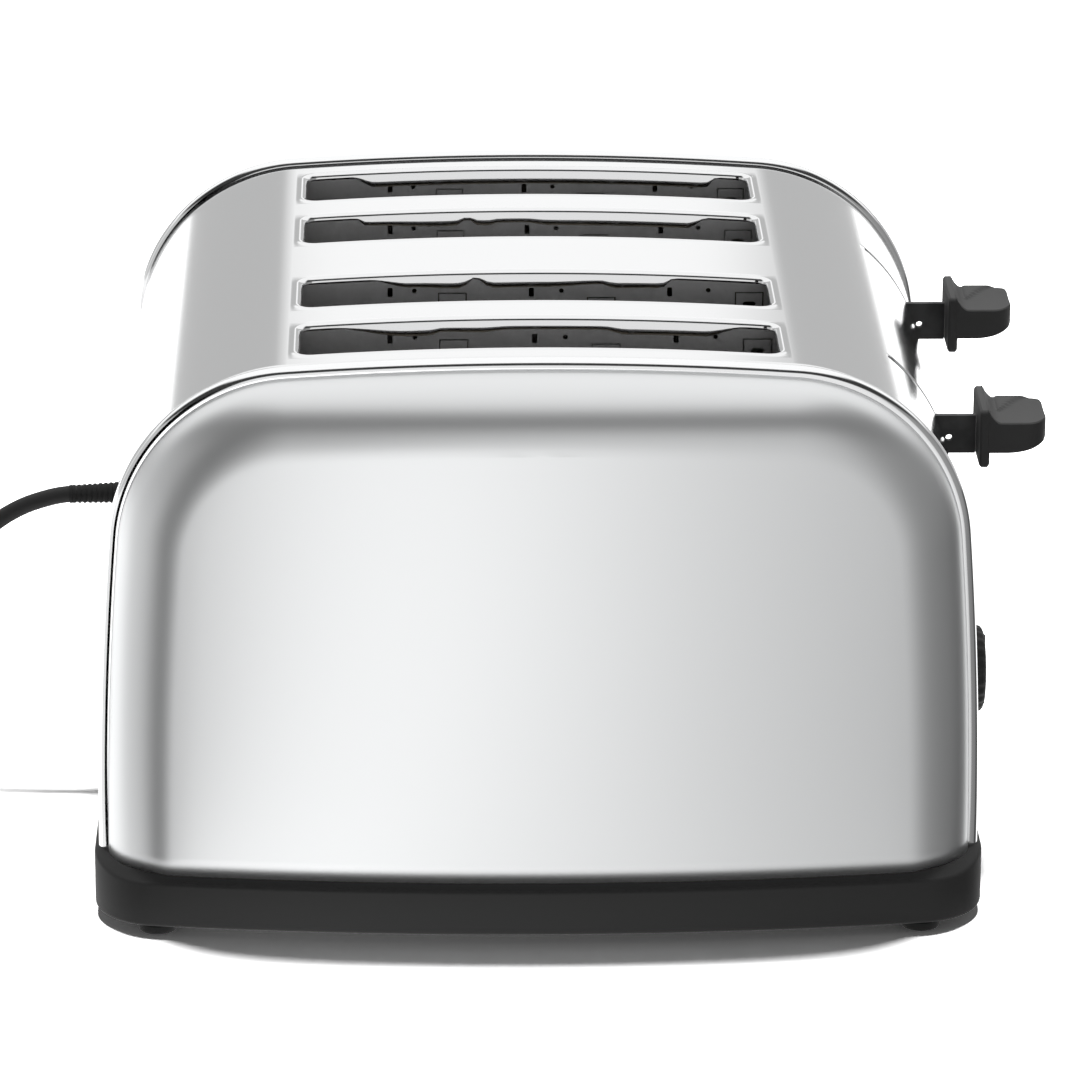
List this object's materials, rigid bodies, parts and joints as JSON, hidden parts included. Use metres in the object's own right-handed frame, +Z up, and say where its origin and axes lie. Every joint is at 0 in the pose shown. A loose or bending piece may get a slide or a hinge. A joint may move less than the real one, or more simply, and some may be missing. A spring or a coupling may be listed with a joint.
{
  "type": "toaster",
  "caption": "Arched steel toaster with long bread slots in paired bays, side levers, browning dials, push buttons, rear crumb trays and a mains lead.",
  "frame": {"origin": "on the surface that the feet stand on, under the middle of the toaster's box without its mains lead", "axes": "+X towards the levers and dials, +Y towards the right-hand side panel as seen by a user who faces the levers, +Z up"},
  "size_m": [0.4452, 0.3692, 0.1779],
  "materials": {
    "polished_steel": "mirror polished stainless sheet",
    "chrome_trim": "bright chrome plate",
    "brushed_steel": "brushed along its length",
    "plated_steel": "dull zinc plate",
    "dark_steel": "dark coated sheet",
    "black_plastic": "satin moulded plastic",
    "lever_plastic": "satin moulded plastic",
    "rubber": "matt",
    "mica": "pale mica sheet",
    "circuit_board": "laminate",
    "copper": "enamelled winding",
    "cord_plastic": "satin flexible sheath"
  },
  "bodies": {
    "housing": {"base_tray": "black_plastic", "rubber_foot_front_left": "rubber", "rubber_foot_rear_left": "rubber", "rubber_foot_front_right": "rubber", "rubber_foot_rear_right": "rubber", "centre_shell": "polished_steel", "trim_left": "chrome_trim", "trim_right": "chrome_trim", "side_panel_left": "brushed_steel", "side_panel_right": "brushed_steel", "chamber_front_plate": "dark_steel", "chamber_rear_plate": "dark_steel", "heater_left_outer": "mica", "heater_left_middle": "mica", "heater_left_inner": "mica", "heater_right_outer": "mica", "heater_right_middle": "mica", "heater_right_inner": "mica", "bread_guard_1": "plated_steel", "bread_guard_2": "plated_steel", "bread_guard_3": "plated_steel", "bread_guard_4": "plated_steel", "guide_rod_left": "plated_steel", "guide_rod_right": "plated_steel", "return_spring_left": "dark_steel", "return_spring_right": "dark_steel", "latch_magnet_left": "copper", "latch_magnet_right": "copper", "control_board_left": "circuit_board", "control_board_right": "circuit_board", "cord_gland": "rubber", "cord_lead": "cord_plastic", "cord_coil": "cord_plastic", "cord_tail": "cord_plastic", "cord_tie": "rubber", "mains_plug": "black_plastic"},
    "left_lift": {"carriage_left": "plated_steel", "lever_stem_left": "dark_steel", "lever_knob_left": "lever_plastic", "bread_rack_1": "plated_steel", "bread_rack_2": "plated_steel"},
    "right_lift": {"carriage_right": "plated_steel", "lever_stem_right": "dark_steel", "lever_knob_right": "lever_plastic", "bread_rack_3": "plated_steel", "bread_rack_4": "plated_steel"},
    "left_dial": {"dial_shaft_left": "plated_steel", "browning_knob_left": "black_plastic"},
    "right_dial": {"dial_shaft_right": "plated_steel", "browning_knob_right": "black_plastic"},
    "left_cancel": {"cancel_button_left": "black_plastic"},
    "left_reheat": {"reheat_button_left": "black_plastic"},
    "left_defrost": {"defrost_button_left": "black_plastic"},
    "right_cancel": {"cancel_button_right": "black_plastic"},
    "right_reheat": {"reheat_button_right": "black_plastic"},
    "right_defrost": {"defrost_button_right": "black_plastic"},
    "left_crumb_tray": {"crumb_tray_left": "dark_steel"},
    "right_crumb_tray": {"crumb_tray_right": "dark_steel"}
  },
  "joints": [
    {"name": "left_lift_slide", "type": "slide", "parent": "housing", "child": "left_lift", "axis": [0, 0, 1], "range_m": [-0.051, 0.015], "stiffness_N_per_m": 150, "springref_m": 0.006, "deforming": ["return_spring_left"]},
    {"name": "right_lift_slide", "type": "slide", "parent": "housing", "child": "right_lift", "axis": [0, 0, 1], "range_m": [-0.051, 0.015], "stiffness_N_per_m": 150, "springref_m": 0.006, "deforming": ["return_spring_right"]},
    {"name": "left_dial_turn", "type": "hinge", "parent": "housing", "child": "left_dial", "pos_m": [0.1192, -0.058, 0.0578], "axis": [1, 0, 0], "range_deg": [-120, 120]},
    {"name": "right_dial_turn", "type": "hinge", "parent": "housing", "child": "right_dial", "pos_m": [0.1192, 0.058, 0.0578], "axis": [1, 0, 0], "range_deg": [-120, 120]},
    {"name": "left_cancel_press", "type": "slide", "parent": "housing", "child": "left_cancel", "axis": [1, 0, 0], "range_m": [-0.0015, 0], "stiffness_N_per_m": 600, "springref_m": 0.001},
    {"name": "left_reheat_press", "type": "slide", "parent": "housing", "child": "left_reheat", "axis": [1, 0, 0], "range_m": [-0.0015, 0], "stiffness_N_per_m": 600, "springref_m": 0.001},
    {"name": "left_defrost_press", "type": "slide", "parent": "housing", "child": "left_defrost", "axis": [1, 0, 0], "range_m": [-0.0015, 0], "stiffness_N_per_m": 600, "springref_m": 0.001},
    {"name": "right_cancel_press", "type": "slide", "parent": "housing", "child": "right_cancel", "axis": [1, 0, 0], "range_m": [-0.0015, 0], "stiffness_N_per_m": 600, "springref_m": 0.001},
    {"name": "right_reheat_press", "type": "slide", "parent": "housing", "child": "right_reheat", "axis": [1, 0, 0], "range_m": [-0.0015, 0], "stiffness_N_per_m": 600, "springref_m": 0.001},
    {"name": "right_defrost_press", "type": "slide", "parent": "housing", "child": "right_defrost", "axis": [1, 0, 0], "range_m": [-0.0015, 0], "stiffness_N_per_m": 600, "springref_m": 0.001},
    {"name": "left_crumb_tray_slide", "type": "slide", "parent": "housing", "child": "left_crumb_tray", "axis": [1, 0, 0], "range_m": [-0.19, 0]},
    {"name": "right_crumb_tray_slide", "type": "slide", "parent": "housing", "child": "right_crumb_tray", "axis": [1, 0, 0], "range_m": [-0.19, 0]}
  ]
}
